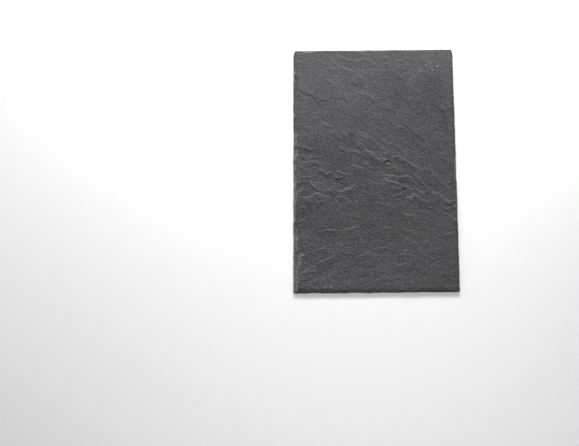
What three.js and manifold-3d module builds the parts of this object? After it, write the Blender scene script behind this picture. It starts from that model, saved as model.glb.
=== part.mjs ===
// Roof slate, nominally 300 x 200 mm: one piece of split slate, lying with its riven face up.
//
// The form follows the way a slater makes one. A block is split along its cleavage, which leaves
// a face of low swells crossed by the broken edges of thin sheets. It is trimmed to its outline,
// and its four edges are dressed from the face, which leaves a row of shallow chips above a thin
// square land at the bed. The bed is the split plane that bears on the battens.
//
// Millimetres. X runs along the head, +Y up the roof from tail to head, +Z out of the riven face.
// The origin is the middle of the bed.

import * as THREE from 'three';
import { mergeVertices } from 'three/addons/utils/BufferGeometryUtils.js';
import Module from 'manifold-3d';

// Outline. The tail, the lower edge on the roof, is a little wider than the head.
const LENGTH = 300;
const WIDTH = 206.5; // along the tail
const HEAD_TAPER = 9.5; // how much narrower the head is, all of it on the right
const OUT_OF_SQUARE = 1.8; // head and tail climb this much from the left edge to the right
const EDGE_WOBBLE = 0.5; // how far a trimmed edge strays inside its straight line
const TRIM_STEP = 8; // length of one straight cut along a trimmed edge
const CORNER_CLIP = 1.6; // mean size of a corner broken off in trimming

// Thickness.
const THICKNESS = 4.8; // bed to the level of the face between its sheets and swells
const LAND = 1.7; // mean height of the square land that dressing leaves at the bed

// Dressing: how far the blows reach into the face, against the place along the edge. The tail is
// dressed evenly along its length. The left edge has long spalls, the widest of them towards its
// tail, and the head and most of the right edge are only nibbled, with a few larger flakes.
const TAIL_DRESSING = [[-103, 4.4], [103, 5]];
const RIGHT_DRESSING = [[-150, 2.2], [-60, 1.6], [-25, 2.6], [16, 3.6], [20, 1], [150, 1]];
const HEAD_DRESSING = [
  [-94, 1], [-91, 4], [-80, 3.6], [-77, 1], [-26, 1], [-23, 3], [-15, 3], [-12, 1],
  [36, 1], [39, 4], [52, 3.6], [56, 1],
];
const LEFT_DRESSING = [
  [-150, 3.5], [-128, 2.4], [-113, 8.7], [-97, 8.7], [-80, 6.6], [-68, 1.8], [-58, 4], [-38, 3.2],
  [-30, 5.5], [-7, 4.3], [-2, 1.5], [5, 3.7], [10, 1.8], [26, 7.4], [29, 1], [37, 5], [46, 6.4],
  [50, 1], [67, 1], [70, 3.2], [74, 1], [108, 1], [114, 3], [118, 1.5], [123, 3.4], [127, 1],
];
const CHIP_LENGTH = 9; // mean length of a chip
const CHIP_REACH = 1.5; // half length of the hollow that a chip is part of, against its length
const CHIP_HOLLOW = 2.5; // radius of that hollow, against the straight line across the chip

// The split face: where each low swell or hollow has its middle, its half length and half width,
// how far its length turns from X in degrees, and how far it lifts the face.
const SWELLS = [
  { at: [-46, 12], half: [40, 20], turn: -20, lift: -0.8 },
  { at: [-64, 62], half: [48, 13], turn: -25, lift: 0.4 },
  { at: [10, -4], half: [30, 18], turn: -25, lift: 0.5 },
  { at: [34, -26], half: [22, 12], turn: -25, lift: -0.3 },
  { at: [6, -44], half: [26, 20], turn: -10, lift: -0.4 },
  { at: [26, -85], half: [34, 17], turn: -10, lift: -0.4 },
  { at: [-81, -33], half: [25, 14], turn: 5, lift: 0.4 },
  { at: [-77, -82], half: [27, 15], turn: 5, lift: -0.3 },
  { at: [-31, -39], half: [15, 11], turn: -10, lift: 0.35 },
  { at: [46, 100], half: [24, 16], turn: -20, lift: -0.35 },
  { at: [68, 58], half: [38, 18], turn: -25, lift: -0.35 },
  { at: [88, 98], half: [14, 40], turn: 0, lift: 0.5 },
  { at: [84, -112], half: [27, 17], turn: -5, lift: 0.3 },
  { at: [-96, 8], half: [15, 20], turn: 0, lift: 0.5 },
  { at: [-58, -152], half: [62, 24], turn: 0, lift: 0.9 },
  { at: [62, -150], half: [60, 24], turn: 0, lift: 0.6 },
];
const FACE_STEP = 8; // spacing of the points that carry the swells

// Cleavage steps: where a thin sheet of the stone ends in a broken edge.
const SHEET_BURIAL = 0.3; // how deep a sheet lies under the face where it has run out
const SHEET_ROOT = 1.2; // depth of its hidden underside
const STEP_SLOPE = 0.8; // how far a broken edge leans, against its height
const STEP_RAGGEDNESS = 0.7; // how far a broken edge strays from its line
const SHEET_STEP = 6; // length of one straight break along the edge

// Each sheet lies to the left of its broken edge, walking through the edge's points.
// The run is how far it reaches from the edge, and the rise how high the edge stands.
const FACE_SHEETS = [
  // Head end.
  { edge: [[-10.5, 139], [-31.5, 136.5], [-42.5, 141], [-54, 143.5]], run: 12, rise: 0.6 },
  { edge: [[-32.5, 125], [-44, 130], [-51.5, 135], [-58.5, 143.5]], run: 27, rise: 0.8 },
  { edge: [[-104.5, 101.5], [-87.5, 96], [-78.5, 91], [-72.5, 84]], run: 27, rise: 0.8 },
  { edge: [[-52.5, 89.5], [-41.5, 91], [-35, 86]], run: 12, rise: 0.5 },
  { edge: [[3.5, 128.5], [-4, 135], [-8, 138]], run: 12, rise: 0.5 },
  { edge: [[48, 118], [57, 120.5], [70.5, 115]], run: 10, rise: 0.5 },
  { edge: [[3.5, 84], [-3, 90], [-13, 94.5]], run: 14, rise: 0.5 },
  { edge: [[-0.5, 89], [9.5, 89], [22, 92.5]], run: 15, rise: 0.5 },
  { edge: [[75.5, 80], [80.5, 73.5], [85.5, 71.5], [93, 71.5]], run: 12, rise: 0.7 },
  // Above the middle.
  { edge: [[-30, 74], [-36.5, 79], [-44, 85]], run: 13, rise: 0.5 },
  { edge: [[42, 49], [32, 55], [23, 58.5], [14.5, 65.5]], run: 13, rise: 0.5 },
  { edge: [[-25, 48], [-19, 43], [-9, 37]], run: 13, rise: 0.5 },
  { edge: [[69, 25.5], [64, 32], [58, 38]], run: 13, rise: 0.6 },
  { edge: [[20.5, 33], [12, 35.5], [6, 40.5]], run: 10, rise: 0.6 },
  { edge: [[-101, 32], [-90, 27.5], [-77.5, 24.5]], run: 10, rise: 0.6 },
  // The middle.
  { edge: [[16, 14.5], [2, 17], [-8, 24.5], [-14, 28.5], [-25, 39]], run: 14, rise: 1.7 },
  { edge: [[53, 2], [42, 10.5], [28, 19], [17, 18]], run: 7, rise: 1.2 },
  { edge: [[-50, 32], [-36.5, 23.5], [-22.5, 20.5], [-8, 12]], run: 9, rise: 0.8 },
  { edge: [[-97, 18], [-85, 14], [-68.5, 16.5]], run: 10, rise: 0.8 },
  { edge: [[-91, 5], [-82.5, 7], [-71, 10]], run: 12, rise: 0.7 },
  { edge: [[-54, 5], [-58.5, -1], [-67.5, 0], [-77.5, 4.5]], run: 6, rise: 1.6 },
  { edge: [[-39, -1.5], [-42.5, -5.5], [-50, -5.5], [-54.5, 2]], run: 5, rise: 1.3 },
  { edge: [[-76, -14], [-90, -10.5], [-104.5, -19]], run: 9, rise: 0.8 },
  { edge: [[-83.5, -14], [-76, -22], [-67.5, -24.5]], run: 10, rise: 0.8 },
  { edge: [[-50, -14], [-55, -21.5], [-67.5, -23.5]], run: 14, rise: 1.6 },
  { edge: [[-25, -15], [-37.5, -21], [-51.5, -23]], run: 18, rise: 1.4 },
  { edge: [[-56.5, -31.5], [-73.5, -26.5], [-86, -31.5], [-98.5, -30.5]], run: 30, rise: 1.7 },
  { edge: [[-25, -40], [-37.5, -34], [-52.5, -30.5]], run: 10, rise: 0.8 },
  { edge: [[53, -19], [42, -8], [30.5, -5.5], [6, -3.5]], run: 12, rise: 1.3 },
  { edge: [[16, 5.5], [20.5, -0.5], [29.5, -3.5]], run: 12, rise: 0.8 },
  { edge: [[44.5, -23.5], [30.5, -16], [16, -11.5], [8.5, -6.5]], run: 21, rise: 1.7 },
  { edge: [[59, -30.5], [50.5, -23], [44.5, -17.5]], run: 9, rise: 1.1 },
  { edge: [[65.5, -38], [53, -31.5], [40.5, -28]], run: 14, rise: 1.9 },
  { edge: [[47, -29], [42, -31], [33, -34]], run: 14, rise: 1.3 },
  { edge: [[101.5, -36], [84, -32], [69, -24.5], [55.5, -11.5]], run: 30, rise: 2.2 },
  { edge: [[58, -13], [52, -8], [44.5, -0.5]], run: 9, rise: 0.8 },
  { edge: [[91.5, -21.5], [83, -13], [75.5, -8], [65.5, -4]], run: 12, rise: 0.7 },
  // Tail end.
  { edge: [[55.5, -59], [44.5, -53.5], [30.5, -51.5]], run: 18, rise: 0.9 },
  { edge: [[50.5, -78.5], [40.5, -72], [28, -70]], run: 13, rise: 0.9 },
  { edge: [[-21.5, -67.5], [-34, -70], [-47.5, -72.5]], run: 23, rise: 1.1 },
  { edge: [[-46.5, -73], [-56.5, -72], [-65, -70]], run: 10, rise: 0.9 },
  { edge: [[-83.5, -63], [-90, -60], [-99.5, -64.5]], run: 10, rise: 0.6 },
  { edge: [[-56.5, -92.5], [-66, -94.5], [-75, -95]], run: 13, rise: 0.6 },
  { edge: [[19.5, -95.5], [4.5, -93], [-5.5, -95]], run: 10, rise: 0.6 },
  { edge: [[2, -102.5], [-11.5, -101], [-26.5, -103]], run: 10, rise: 0.6 },
  { edge: [[43, -101.5], [35, -101], [28, -101]], run: 13, rise: 0.6 },
  { edge: [[-49, -102.5], [-61, -107.5], [-77.5, -114]], run: 21, rise: 1 },
  { edge: [[-78.5, -115], [-86, -121.5], [-95, -125.5], [-99.5, -134.5]], run: 18, rise: 1.3 },
  { edge: [[97.5, -77], [86.5, -76.5], [81.5, -81]], run: 10, rise: 0.6 },
  { edge: [[39.5, -114], [32, -113.5], [24.5, -117]], run: 10, rise: 0.6 },
];

// The bed has split more cleanly. Here each sheet is one that came away with the next slate.
const BED_SHEETS = [
  { edge: [[74, 118], [40, 103], [4, 101], [-36, 86]], run: 26, rise: 0.45 },
  { edge: [[-80, 50], [-42, 41], [-8, 38], [32, 20]], run: 24, rise: 0.4 },
  { edge: [[88, 16], [54, 5], [22, 3], [2, -8]], run: 28, rise: 0.5 },
  { edge: [[-16, -52], [-50, -41], [-84, -20]], run: 20, rise: 0.4 },
  { edge: [[-66, -112], [-22, -101], [24, -105], [64, -88]], run: 22, rise: 0.45 },
];

const wasm = await Module();
wasm.setup();

// A repeatable run of numbers from 0 to 1.
function randomRun(seed) {
  let state = seed;
  return () => {
    state = (state * 48271) % 2147483647;
    return state / 2147483647;
  };
}

// Height of the riven face above the bed, without its cleavage steps.
function faceHeight(x, y) {
  const offset = new THREE.Vector2();
  const lift = SWELLS.map((swell) => {
    offset.set(x, y).sub(new THREE.Vector2(...swell.at));
    offset.rotateAround(new THREE.Vector2(), THREE.MathUtils.degToRad(-swell.turn));
    offset.divide(new THREE.Vector2(...swell.half));
    return swell.lift * Math.exp(-offset.lengthSq());
  });
  return lift.reduce((height, amount) => height + amount, THICKNESS);
}

// A closed three.js geometry as a solid that can be joined and cut.
function solidOf(geometry) {
  geometry.deleteAttribute('normal');
  geometry.deleteAttribute('uv');
  const { attributes, index } = mergeVertices(geometry);
  return new wasm.Manifold(new wasm.Mesh({
    numProp: 3,
    vertProperties: new Float32Array(attributes.position.array),
    triVerts: new Uint32Array(index.array),
  }));
}

function geometryOf(solid) {
  const { vertProperties, triVerts } = solid.getMesh();
  const geometry = new THREE.BufferGeometry();
  geometry.setAttribute('position', new THREE.BufferAttribute(vertProperties, 3));
  geometry.setIndex(new THREE.BufferAttribute(triVerts, 1));
  geometry.computeVertexNormals();
  return geometry;
}

// Moves every point of a geometry to where place(point) puts it.
function shapePoints(geometry, place) {
  const { position } = geometry.attributes;
  const point = new THREE.Vector3();
  for (let i = 0; i < position.count; i += 1) {
    place(point.fromBufferAttribute(position, i));
    position.setXYZ(i, point.x, point.y, point.z);
  }
  return geometry;
}

// The four edges, anticlockwise from the tail's left end, with the slate on their left. Each
// one's dressing is read along X or Y.
function slateEdges() {
  const left = -WIDTH / 2;
  const climb = (x) => (OUT_OF_SQUARE * x) / WIDTH;
  const corner = (x, y) => new THREE.Vector2(x, y + climb(x));
  const tailLeft = corner(left, -LENGTH / 2);
  const tailRight = corner(left + WIDTH, -LENGTH / 2);
  const headRight = corner(left + WIDTH - HEAD_TAPER, LENGTH / 2);
  const headLeft = corner(left, LENGTH / 2);
  return [
    { from: tailLeft, to: tailRight, axis: 'x', dressing: TAIL_DRESSING, seed: 11 },
    { from: tailRight, to: headRight, axis: 'y', dressing: RIGHT_DRESSING, seed: 23 },
    { from: headRight, to: headLeft, axis: 'x', dressing: HEAD_DRESSING, seed: 37 },
    { from: headLeft, to: tailLeft, axis: 'y', dressing: LEFT_DRESSING, seed: 53 },
  ];
}

// The split block, larger all round than the slate that is trimmed from it.
function splitBlock() {
  const halfWidth = WIDTH / 2 + FACE_STEP;
  const halfLength = (LENGTH + OUT_OF_SQUARE) / 2 + FACE_STEP;
  const columns = Math.ceil((2 * halfWidth) / FACE_STEP);
  const rows = Math.ceil((2 * halfLength) / FACE_STEP);
  const block = new THREE.BoxGeometry(2 * halfWidth, 2 * halfLength, 2 * THICKNESS, columns, rows);
  return solidOf(shapePoints(block, (point) => {
    if (point.z > 0) point.z = faceHeight(point.x, point.y);
  }));
}

// One thin sheet of the cleavage on a surface: it stands proud at its ragged broken edge, falls
// away to the surface over its run and at both ends, and its underside is buried.
function cleavageSheet({ edge, run, rise }, surface, random) {
  const line = new THREE.SplineCurve(edge.map(([x, y]) => new THREE.Vector2(x, y)));
  const breaks = Math.max(4, Math.round(line.getLength() / SHEET_STEP));
  const rows = Math.max(2, Math.round(run / FACE_STEP));
  const chord = line.getPoint(1).sub(line.getPoint(0)).normalize();
  const inward = new THREE.Vector2(-chord.y, chord.x);
  const stray = Array.from({ length: breaks + 1 }, () => STEP_RAGGEDNESS * (2 * random() - 1));
  const reach = Array.from({ length: breaks + 1 }, () => run * (0.8 + 0.4 * random()));
  const sheet = new THREE.BoxGeometry(1, 1, 1, breaks, rows, 1);
  return solidOf(shapePoints(sheet, (point) => {
    const u = point.x + 0.5; // 0 to 1 along the broken edge
    const v = point.y + 0.5; // 0 at the broken edge, 1 where the sheet has run out
    const cut = Math.round(u * breaks);
    const isTop = point.z > 0;
    const foot = isTop ? 0 : STEP_SLOPE * (rise + SHEET_ROOT) * (1 - v);
    const place = line.getPointAt(u);
    place.addScaledVector(inward, stray[cut] + v * reach[cut] - foot);
    const standing = Math.sqrt(Math.sin(Math.PI * u)) * (1 - v);
    const height = isTop ? (rise + SHEET_BURIAL) * standing - SHEET_BURIAL : -SHEET_ROOT;
    point.set(place.x, place.y, surface(place.x, place.y) + height);
  }));
}

// The slate's plan, as a block from the bed to well above the face.
function trimmedPlan() {
  const outline = [];
  for (const { from, to, seed } of slateEdges()) {
    const random = randomRun(seed);
    const length = from.distanceTo(to);
    const along = to.clone().sub(from).normalize();
    const inward = new THREE.Vector2(-along.y, along.x);
    const cuts = Math.round(length / TRIM_STEP);
    for (let cut = 0; cut <= cuts; cut += 1) {
      const atEnd = cut === 0 || cut === cuts;
      const clip = atEnd ? CORNER_CLIP * (0.4 + 0.9 * random()) : 0;
      const distance = (length * cut) / cuts + (cut === 0 ? clip : -clip);
      const wobble = EDGE_WOBBLE * random();
      outline.push(from.clone().addScaledVector(along, distance).addScaledVector(inward, wobble));
    }
  }
  const options = { depth: 2 * THICKNESS, bevelEnabled: false };
  return solidOf(new THREE.ExtrudeGeometry(new THREE.Shape(outline), options));
}

// How far a dressing reaches into the face at one place, on straight lines between its pairs.
function reachAt(dressing, place) {
  const next = dressing.findIndex(([mark]) => mark > place);
  if (next === 0) return dressing[0][1];
  if (next < 0) return dressing.at(-1)[1];
  const [[markBefore, before], [markAfter, after]] = dressing.slice(next - 1, next + 1);
  return THREE.MathUtils.mapLinear(place, markBefore, markAfter, before, after);
}

// The chips of one dressed edge: each blow takes a hollow flake from the face's arris down to
// the land. In section the hollow is a shallow arc from the face to the edge.
function dressingChips({ from, to, axis, dressing, seed }) {
  const random = randomRun(7 * seed);
  const length = from.distanceTo(to);
  const along = to.clone().sub(from).normalize();
  const heading = Math.atan2(along.y, along.x);
  const chips = [];
  for (let distance = 0; distance < length;) {
    const chipLength = CHIP_LENGTH * (0.55 + 0.9 * random());
    const centre = from.clone().addScaledVector(along, distance + chipLength / 2);
    const inset = reachAt(dressing, centre[axis]) * (0.75 + 0.5 * random());
    const land = LAND * (0.7 + 0.6 * random());
    const slope = new THREE.Vector2(inset, THICKNESS - land);
    const radius = CHIP_HOLLOW * slope.length();
    const offset = Math.sqrt(radius ** 2 - slope.lengthSq() / 4);
    const outward = new THREE.Vector2(-slope.y, slope.x).normalize();
    const chip = new THREE.IcosahedronGeometry(1, 2);
    chip.rotateX(Math.PI * random());
    chip.rotateZ(Math.PI * random());
    chip.scale(CHIP_REACH * chipLength, radius, radius);
    chip.translate(0, inset / 2 + outward.x * offset, (THICKNESS + land) / 2 + outward.y * offset);
    chip.rotateZ(heading);
    chip.translate(centre.x, centre.y, 0);
    chips.push(solidOf(chip));
    distance += chipLength;
  }
  return chips;
}

function makeSlate() {
  const sheetsOn = (surface, sheets, seed) => {
    const random = randomRun(seed);
    return sheets.map((sheet) => cleavageSheet(sheet, surface, random));
  };
  const faceSheets = sheetsOn(faceHeight, FACE_SHEETS, 101);
  const lostBedSheets = sheetsOn(() => 0, BED_SHEETS, 211);
  const chips = slateEdges().flatMap(dressingChips);
  const rivenBlock = wasm.Manifold.union([splitBlock(), ...faceSheets]);
  const trimmed = rivenBlock.intersect(trimmedPlan());
  return trimmed.subtract(wasm.Manifold.union([...lostBedSheets, ...chips]));
}

const stone = new THREE.MeshStandardMaterial({ color: 0x57575a, roughness: 0.7, metalness: 0 });
const geometry = geometryOf(makeSlate());
geometry.computeBoundingBox();
const middle = geometry.boundingBox.getCenter(new THREE.Vector3());
geometry.translate(-middle.x, -middle.y, 0);

const slate = new THREE.Mesh(geometry, stone);
slate.name = 'slate';

const group = new THREE.Group();
group.name = 'roof_slate';
group.add(slate);

export default group;
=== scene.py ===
import math

import bmesh
import bpy
import numpy as np
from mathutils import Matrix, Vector, noise


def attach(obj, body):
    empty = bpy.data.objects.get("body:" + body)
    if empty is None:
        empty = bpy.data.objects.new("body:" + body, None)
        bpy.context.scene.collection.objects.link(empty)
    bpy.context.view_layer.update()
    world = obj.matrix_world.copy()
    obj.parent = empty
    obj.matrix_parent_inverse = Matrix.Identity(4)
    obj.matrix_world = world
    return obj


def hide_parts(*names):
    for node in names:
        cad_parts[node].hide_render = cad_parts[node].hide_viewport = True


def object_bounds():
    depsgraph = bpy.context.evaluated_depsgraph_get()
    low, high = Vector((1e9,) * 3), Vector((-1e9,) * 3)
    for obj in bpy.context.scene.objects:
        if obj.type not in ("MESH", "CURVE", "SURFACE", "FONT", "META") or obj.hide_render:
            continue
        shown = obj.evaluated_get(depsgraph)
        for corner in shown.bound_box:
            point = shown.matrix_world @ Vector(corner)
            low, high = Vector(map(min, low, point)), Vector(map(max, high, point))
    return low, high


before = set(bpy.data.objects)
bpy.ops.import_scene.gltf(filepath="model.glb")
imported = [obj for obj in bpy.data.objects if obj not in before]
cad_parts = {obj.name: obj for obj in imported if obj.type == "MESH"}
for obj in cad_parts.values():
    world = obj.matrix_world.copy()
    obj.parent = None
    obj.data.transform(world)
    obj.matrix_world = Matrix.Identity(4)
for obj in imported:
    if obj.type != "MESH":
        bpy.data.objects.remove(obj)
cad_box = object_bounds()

# --- The slate: its trimmed outline ------------------------------------------------------------
# One natural slate, split from the block and lying on its bed with its riven face up. It is
# trimmed to size with a slater's knife, bite by bite, so its edges stray a little inside straight
# lines and its corners are broken off. Sizes are in millimetres until they reach the mesh.

MM = 0.001
slate_low, slate_high = (np.array(corner) / MM for corner in cad_box)
WIDTH = slate_high[0] - slate_low[0]
LENGTH = slate_high[1] - slate_low[1]
# The head is this much narrower than the tail, and the right side lies this much further up.
HEAD_TAPER = 9.5
OUT_OF_SQUARE = 1.8
SIDE_LENGTH = LENGTH - OUT_OF_SQUARE

# The grid that becomes the slate has a face of cells under a millimetre across, smaller ones in
# its rim, where the chips are, a wall of two rows, and a bed of one cell to 4 x 4 of the face.
FACE_COLUMNS, FACE_ROWS = 232, 376
RIM_CELLS, RIM_CELL = 12, 0.5
BED_STEP = 4
FACE_TIER, WALL_TIER, BED_TIER = 1.0, 0.5, 0.0
WELD = 1e-6

slate_bm = bmesh.new()
bmesh.ops.create_grid(slate_bm, x_segments=FACE_COLUMNS, y_segments=FACE_ROWS, size=0.5)
for vert in slate_bm.verts:
    vert.co.z = FACE_TIER
rim = [edge for edge in slate_bm.edges if edge.is_boundary]
for tier in (WALL_TIER, BED_TIER):
    wall_parts = bmesh.ops.extrude_edge_only(slate_bm, edges=rim)["geom"]
    for vert in (part for part in wall_parts if isinstance(part, bmesh.types.BMVert)):
        vert.co.z = tier
    rim = [part for part in wall_parts
           if isinstance(part, bmesh.types.BMEdge) and part.is_boundary]
bed_verts = set(bmesh.ops.create_grid(slate_bm, x_segments=FACE_COLUMNS // BED_STEP,
                                      y_segments=FACE_ROWS // BED_STEP, size=0.5)["verts"])
bed_rim = [edge for edge in slate_bm.edges if edge.is_boundary and edge.verts[0] in bed_verts]
bmesh.ops.subdivide_edges(slate_bm, edges=bed_rim, cuts=BED_STEP - 1)
bmesh.ops.remove_doubles(slate_bm, verts=slate_bm.verts, dist=WELD)
bmesh.ops.recalc_face_normals(slate_bm, faces=slate_bm.faces)

grid = np.array([vert.co for vert in slate_bm.verts])
grid_u, grid_v = grid[:, 0] + 0.5, grid[:, 1] + 0.5
on_face = grid[:, 2] > (FACE_TIER + WALL_TIER) / 2
on_bed = grid[:, 2] < (WALL_TIER + BED_TIER) / 2
at_edge = (np.minimum(np.minimum(grid_u, 1 - grid_u), np.minimum(grid_v, 1 - grid_v))
           < 10 * WELD)
inside_bed = on_bed & ~at_edge


def noise_at(a, b, layer):
    """Perlin noise over two arrays of coordinates. Each pattern reads a layer of its own."""
    return np.array([noise.noise((p, q, layer)) for p, q in zip(a, b)])


def grid_line(position, cells, length):
    """Where a position from 0 to 1 across the grid falls, with small cells in both rims."""
    rim_lines = np.arange(RIM_CELLS) * RIM_CELL
    middle = np.linspace(RIM_CELLS * RIM_CELL, length - RIM_CELLS * RIM_CELL,
                         cells - 2 * RIM_CELLS + 1)
    lines = np.concatenate([rim_lines, middle, length - rim_lines[::-1]])
    return np.interp(position, np.linspace(0, 1, cells + 1), lines)


# How far a trimmed edge lies inside its line on average, and the height, length and layer of the
# waves in it, from a few blows of the knife down to the marks of its teeth.
STRAY_MEAN = 0.42
STRAY_WAVES = ((0.5, 17, 0), (0.35, 6, 5), (0.22, 2.3, 9))
# Each edge's layer, then how deep and how far the broken corner at each of its ends reaches.
LEFT_EDGE = (1.3, (0.3, 0.8), (1.9, 3.5))
RIGHT_EDGE = (2.6, (0.5, 1.0), (3.0, 2.6))
TAIL_EDGE = (3.9, (0.3, 0.8), (0.6, 1.0))
HEAD_EDGE = (5.2, (0.5, 1.2), (0.2, 0.8))


def stray(distance, length, layer, *corners):
    """How far a trimmed edge lies inside its straight line."""
    inset = np.full(len(distance), STRAY_MEAN)
    for height, wave, sublayer in STRAY_WAVES:
        inset += height * noise_at(distance / wave, 0 * distance, layer + sublayer)
    for corner, (depth, reach) in zip((0, length), corners):
        inset += depth * np.exp(-np.abs(distance - corner) / reach)
    return np.clip(inset, 0, None)


def plan(u, v):
    """Plan position of the points of the grid, from where they lie in it from 0 to 1."""
    across, up = grid_line(u, FACE_COLUMNS, WIDTH), grid_line(v, FACE_ROWS, SIDE_LENGTH)
    left, right = stray(up, SIDE_LENGTH, *LEFT_EDGE), stray(up, SIDE_LENGTH, *RIGHT_EDGE)
    tail, head = stray(across, WIDTH, *TAIL_EDGE), stray(across, WIDTH, *HEAD_EDGE)
    s, t = across / WIDTH, up / SIDE_LENGTH
    wide = WIDTH - HEAD_TAPER * t
    return (-WIDTH / 2 + left + s * (wide - left - right),
            -LENGTH / 2 + OUT_OF_SQUARE * s + tail + t * (SIDE_LENGTH - tail - head))


x, y = plan(grid_u, grid_v)

# --- The slate: its riven face -----------------------------------------------------------------
# Slate splits along its cleavage, and a sheet never lets go cleanly. Pieces of the sheets above
# stay on the face, each thinning out from a broken edge that catches the light, and between them
# the stone steps down in fine stairs along its grain.


def smooth(value, low, high):
    """A smooth step from 0 at low to 1 at high."""
    t = np.clip((value - low) / (high - low), 0, 1)
    return t * t * (3 - 2 * t)


def fractal_at(a, b, layer, octaves, roughness=0.5):
    """Several octaves of Perlin noise, each twice as fine as the last."""
    total = np.zeros(len(a))
    for octave in range(octaves):
        scale = 2.0 ** octave
        total += roughness ** octave * noise_at(a * scale, b * scale, layer + 3.7 * octave)
    return total


def waves_at(waves, layer):
    """Waves of Perlin noise over the plan, each given by its height and its length."""
    return sum(height * noise_at(x / length, y / length, layer + i)
               for i, (height, length) in enumerate(waves))


# Places are measured from the slate's middle, to the right and up towards the head. First the
# slope of the grain at the tail, what the middle adds to it, and what the head takes back. Then
# how much its lines bend at the head, how much more at the tail and on the right, and over what
# span. Then its slow waver, by height, length and width, and how far its measure leans.
TAIL_FALL, MIDDLE_FALL, HEAD_EASE = -0.05, 0.48, 0.14
HEAD_BEND, TAIL_BEND, RIGHT_BEND, BEND_SPAN = 0.05, 0.30, 1.7, 200
WAVER, WAVER_LONG, WAVER_HIGH = 3.0, 42, 30
LEAN = 0.5


def grain_coordinates():
    """Along and across the grain. It falls to the right by about 20 degrees over the head half,
    more steeply near the right edge, and rises to the right in the lower left."""
    fall = TAIL_FALL + MIDDLE_FALL * smooth(y, -170, 30) - HEAD_EASE * smooth(y, 20, 120)
    bend = (HEAD_BEND + TAIL_BEND * (1 - smooth(y, -60, 90))) * np.where(x > 0, RIGHT_BEND, 1)
    waver = WAVER * noise_at(x / WAVER_LONG, y / WAVER_HIGH, 91.3)
    return x - LEAN * y, y + fall * x + bend * x ** 2 / BEND_SPAN + waver


along, across = grain_coordinates()

# Thickness of the slate's body over its bed.
THICKNESS = 4.8
# Broad swells and hollows: centre, half length along the grain, half width, turn, height.
SWELLS = [
    ((-46, 12), 40, 20, -20, -0.8),
    ((-64, 62), 48, 13, -25, 0.4),
    ((10, -4), 30, 18, -25, 0.5),
    ((34, -26), 22, 12, -25, -0.3),
    ((6, -44), 26, 20, -10, -0.4),
    ((26, -85), 34, 17, -10, -0.4),
    ((-81, -33), 25, 14, 5, 0.4),
    ((-77, -82), 27, 15, 5, -0.3),
    ((-31, -39), 15, 11, -10, 0.35),
    ((46, 100), 24, 16, -20, -0.35),
    ((68, 58), 38, 18, -25, -0.35),
    ((88, 98), 14, 40, 0, 0.5),
    ((84, -112), 27, 17, -5, 0.3),
    ((-96, 8), 15, 20, 0, 0.5),
    ((-58, -152), 62, 24, 0, 0.9),
    ((62, -150), 60, 24, 0, 0.6),
]
# Smaller ones follow the grain: their height, length, width and roughness.
ROLL, ROLL_LONG, ROLL_WIDE, ROLL_ROUGHNESS = 0.30, 46, 24, 0.6


def swell_height():
    """Height of the broad swells and hollows over the body of the slate."""
    height = np.zeros(len(x))
    for (cx, cy), length, width, turn, rise in SWELLS:
        c, s = math.cos(math.radians(turn)), math.sin(math.radians(turn))
        a, b = (x - cx) * c + (y - cy) * s, (y - cy) * c - (x - cx) * s
        height += rise * np.exp(-(a / length) ** 2 - (b / width) ** 2)
    return height


# The level is the height without its fine relief. The stone is paler where it stands higher. The
# painted shade and light of the pits, the patches and the rims are added to it further on.
level_and_painted_shading = swell_height() + ROLL * fractal_at(along / ROLL_LONG, across / ROLL_WIDE, 35.0, 3,
                                           ROLL_ROUGHNESS)
face = THICKNESS + level_and_painted_shading

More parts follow.
